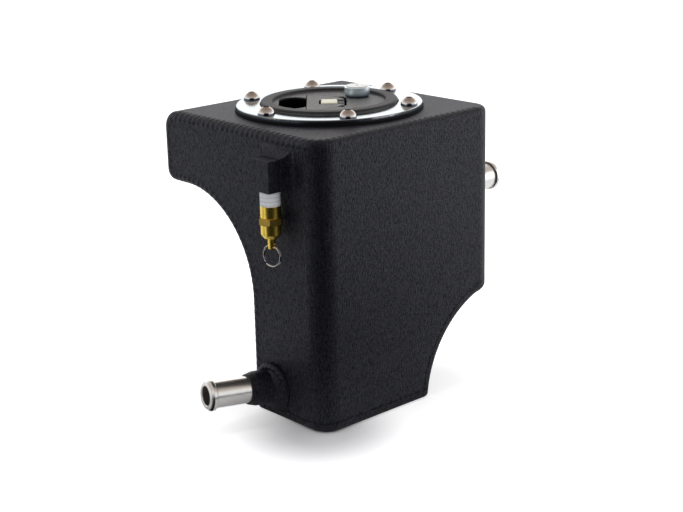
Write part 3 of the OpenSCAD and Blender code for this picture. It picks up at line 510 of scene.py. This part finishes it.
def make_block_fillet():
    """Hollow fillet of weld that carries the valve's block: on top of it and at both sides."""
    leg, spare, buried, edge_left = 0.0072, 0.015, 0.0001, 0.0003
    foot, low, high = BOSS_LOW + 0.0004, BOSS_LOW - spare, BOSS_TOP + leg
    middle = (BOSS_X, Y_FRONT - leg / 2 + buried, (low + high) / 2)
    bpy.ops.mesh.primitive_cube_add(size=1, location=middle)
    fillet = bpy.context.object
    fillet.scale = (BOSS_W + 2 * leg, leg, high - low)
    bpy.ops.object.transform_apply(location=True, rotation=True, scale=True)
    bpy.ops.object.mode_set(mode="EDIT")
    bpy.ops.mesh.select_all(action="DESELECT")
    bpy.ops.object.mode_set(mode="OBJECT")
    outer = min(v.co.y for v in fillet.data.vertices)
    for edge in fillet.data.edges:
        ends = [fillet.data.vertices[k].co for k in edge.vertices]
        on_face = all(abs(end.y - outer) < TINY for end in ends)
        at_foot = all(abs(end.z - low) < TINY for end in ends)
        edge.select = on_face and not at_foot
    bpy.ops.object.mode_set(mode="EDIT")
    bpy.ops.mesh.select_mode(type="EDGE")
    bpy.ops.mesh.bevel(offset=leg - edge_left, segments=10, profile=0.12, affect="EDGES")
    bpy.ops.mesh.select_all(action="SELECT")
    bpy.ops.mesh.bisect(plane_co=(0, 0, foot), plane_no=(0, 0, 1), use_fill=True, clear_inner=True)
    bpy.ops.object.mode_set(mode="OBJECT")
    join_pieces([fillet], "block_fillet", COAT, "tank", ("valve_block_weld",))


def make_pale_block():
    """Pale moulded block in the lever's slot, with its edges rounded."""
    low, high = TANK_TOP + BLOCK_LOW, DISH_Z + 0.0008
    middle = (FILLER.x, FILLER.y, (low + high) / 2)
    bpy.ops.mesh.primitive_cube_add(size=1, location=middle, rotation=(0, 0, CAP_TURN))
    block = bpy.context.object
    block.scale = (BLOCK_L, BLOCK_W, high - low)
    bpy.ops.object.transform_apply(location=True, rotation=True, scale=True)
    rounded = block.modifiers.new("rounded", "BEVEL")
    rounded.width = 0.0011
    rounded.segments = 4
    bpy.ops.object.modifier_apply(modifier="rounded")
    join_pieces([block], "pale_block", BLOCK, "clamp", ("cam_block",))


def make_relief_spring():
    """Coil of the relief valve, which is squeezed as the stem is pulled."""
    coil, wire, low, high = 0.00375, 0.0006, 0.13206, 0.14484
    turns, steps = 5.5, 110
    points = []
    for k in range(steps + 1):
        angle = 2 * math.pi * turns * k / steps
        height = low + wire + (high - low - 2 * wire) * k / steps
        points.append((VALVE.x + coil * math.cos(angle), VALVE.y + coil * math.sin(angle), height))
    spring = join_pieces([make_wire(points, wire)], "relief_spring", WIRE,
                         "tank", ("valve_spring",))
    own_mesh(spring)


make_seams()
make_bung_weld()
make_split_ring()
make_block_fillet()
make_pale_block()
make_relief_spring()


# Room, light and camera

UPRIGHT = math.radians(90)


def make_floor():
    """Pale floor that keeps the shadow and runs out to white, with a painted shadow round the foot
    where its camera glow is weaker.
    """
    bpy.ops.mesh.primitive_circle_add(vertices=96, radius=6, fill_type="NGON", location=(0, 0, 0))
    floor = bpy.context.object
    floor.name = "floor"
    made, tree, shader = new_material("pale_floor", (0.9, 0.9, 0.91), 0.9, 0.0, 0.0)
    coords = tree.nodes.new("ShaderNodeTexCoord")
    away = tree.nodes.new("ShaderNodeVectorMath")
    away.operation = "DISTANCE"
    away.inputs[1].default_value = (0.028, -0.048, 0)
    tree.links.new(coords.outputs["Object"], away.inputs[0])
    # Camera glow grows with distance from the foot: painted shadow close to it, and white further out.
    painted_shadow_falloff = run_between(tree, away.outputs["Value"], 0.012, 0.07, 0.05, 0.6)
    painted_shadow_falloff.node.interpolation_type = "SMOOTHSTEP"
    light_path = tree.nodes.new("ShaderNodeLightPath")
    glow = combine(tree, "MULTIPLY", light_path.outputs["Is Camera Ray"], painted_shadow_falloff)
    shader.inputs["Emission Color"].default_value = (1, 1, 1, 1)
    tree.links.new(glow, shader.inputs["Emission Strength"])
    floor.data.materials.append(made)


def make_flag(name, place, size, turned, tone, glow=0.0):
    """Card that only reflections see: dark by the near corner, or glowing."""
    bpy.ops.mesh.primitive_plane_add(size=1, location=place)
    card = bpy.context.object
    card.name = name
    card.scale = (*size, 1)
    card.rotation_euler = turned
    made, _, shader = new_material(name, (tone, tone, tone), 1.0, 0.0, 0.0)
    shader.inputs["Emission Color"].default_value = (1, 1, 1, 1)
    shader.inputs["Emission Strength"].default_value = glow
    card.data.materials.append(made)
    card.visible_camera = False
    card.visible_shadow = False
    card.visible_diffuse = False


def make_flags():
    """The dark cards by the near corner, and the glowing ones round the object."""
    flat, dark, black = (0, 0, 0), 0.01, 0.0
    make_flag("standing_flag", (1.0, -0.85, 0.55), (1.9, 1.1), (UPRIGHT, 0, math.radians(48.4)), dark)
    make_flag("front_floor_flag", (0.55, -0.76, 0.0012), (1.7, 1.33), flat, dark)
    make_flag("side_floor_flag", (0.79, 0.05, 0.0012), (1.4, 0.34), flat, dark)
    make_flag("back_right_glow_card", (0.35, 0.62, 0.22), (0.6, 0.44),
              (UPRIGHT, 0, math.radians(150.6)), black, 1.7)
    make_flag("lip_glow_card", (-0.131, -0.132, 0.002), (0.09, 0.09), flat, black, 1.0)
    for name, degrees, width in (("left_glow_card", -106, 0.09), ("right_glow_card", 30, 0.07)):
        turn = math.radians(degrees)
        away = Vector((math.cos(turn), math.sin(turn), 0))
        make_flag(name, (VALVE.x + 0.3 * away.x, VALVE.y + 0.3 * away.y, 0.05), (width, 0.08),
                  (UPRIGHT, 0, math.radians(degrees + 90)), black, 1.4)


def mixed_colours(tree, share, first, second):
    """Two colours mixed by a linked share; each is linked, or set where it is plain numbers."""
    node = tree.nodes.new("ShaderNodeMix")
    node.data_type = "RGBA"
    tree.links.new(share, node.inputs["Factor"])
    sockets = [socket for socket in node.inputs if socket.type == "RGBA"]
    for socket, colour in zip(sockets, (first, second)):
        if isinstance(colour, tuple):
            socket.default_value = colour
        else:
            tree.links.new(colour, socket)
    return next(socket for socket in node.outputs if socket.type == "RGBA")


def make_world():
    """White behind the object, an even soft light, and a darker warm ceiling in what shines."""
    world = bpy.data.worlds.new("studio")
    bpy.context.scene.world = world
    world.use_nodes = True
    tree = world.node_tree
    back = tree.nodes["Background"]
    ceiling = ramp(tree, upward(tree, "Generated"), [
        (0.0, (0.84, 0.9, 1)), (0.22, (1, 1, 1)), (0.42, (1, 0.98, 0.96)),
        (0.58, (0.58, 0.52, 0.48)), (1.0, (0.34, 0.305, 0.28))])
    behind = along_axis(tree, "Generated", (-0.748, 0.664, 0))
    gain = run_between(tree, behind, 0.45, 0.95, 1.0, 1.6)
    lifted = tree.nodes.new("ShaderNodeVectorMath")
    lifted.operation = "SCALE"
    tree.links.new(ceiling, lifted.inputs[0])
    tree.links.new(gain, lifted.inputs["Scale"])
    rays = tree.nodes.new("ShaderNodeLightPath").outputs
    soft = mixed_colours(tree, rays["Is Glossy Ray"], (0.6, 0.6, 0.61, 1), lifted.outputs["Vector"])
    seen = mixed_colours(tree, rays["Is Camera Ray"], soft, (1, 1, 1, 1))
    tree.links.new(seen, back.inputs["Color"])
    back.inputs["Strength"].default_value = 1.0


def make_softbox():
    """Soft lamp over the back of the object, which no reflection shows."""
    place, target = Vector((-0.22, 0.26, 1.3)), Vector((-0.03, 0.0, 0.0))
    bpy.ops.object.light_add(type="AREA", location=place)
    lamp = bpy.context.object
    lamp.name = "top_softbox"
    lamp.data.shape = "RECTANGLE"
    lamp.data.size, lamp.data.size_y = 0.6, 0.6
    lamp.data.energy = 9
    lamp.rotation_euler = (target - place).to_track_quat("-Z", "Y").to_euler()
    lamp.visible_glossy = False


def make_camera():
    """The photograph's view: turn, height and roll of the camera, and its lens."""
    photo_width, photo_height, sensor = 683, 512, 36
    focal_pixels, axis_x_pixels, axis_y_pixels = 1465.157, 331.151, 252.463
    turn, lift, roll = math.radians(48.419), math.radians(16.748), math.radians(-1.505)
    distance = 1.032734
    target = Vector((-0.04475, 0.032, 0.091177))
    away = Vector((math.sin(turn) * math.cos(lift), -math.cos(turn) * math.cos(lift), math.sin(lift)))
    bpy.ops.object.camera_add(location=target + distance * away)
    camera = bpy.context.object
    aim = Matrix.Rotation(turn, 3, "Z") @ Matrix.Rotation(math.pi / 2 - lift, 3, "X")
    camera.rotation_euler = (aim @ Matrix.Rotation(roll, 3, "Z")).to_euler()
    camera.data.sensor_width = sensor
    camera.data.lens = focal_pixels * sensor / photo_width
    camera.data.shift_x = (photo_width / 2 - axis_x_pixels) / photo_width
    camera.data.shift_y = (axis_y_pixels - photo_height / 2) / photo_width
    camera.data.clip_start = 0.01
    bpy.context.scene.camera = camera


make_floor()
make_flags()
make_world()
make_softbox()
make_camera()
bpy.context.scene.view_settings.view_transform = "Standard"
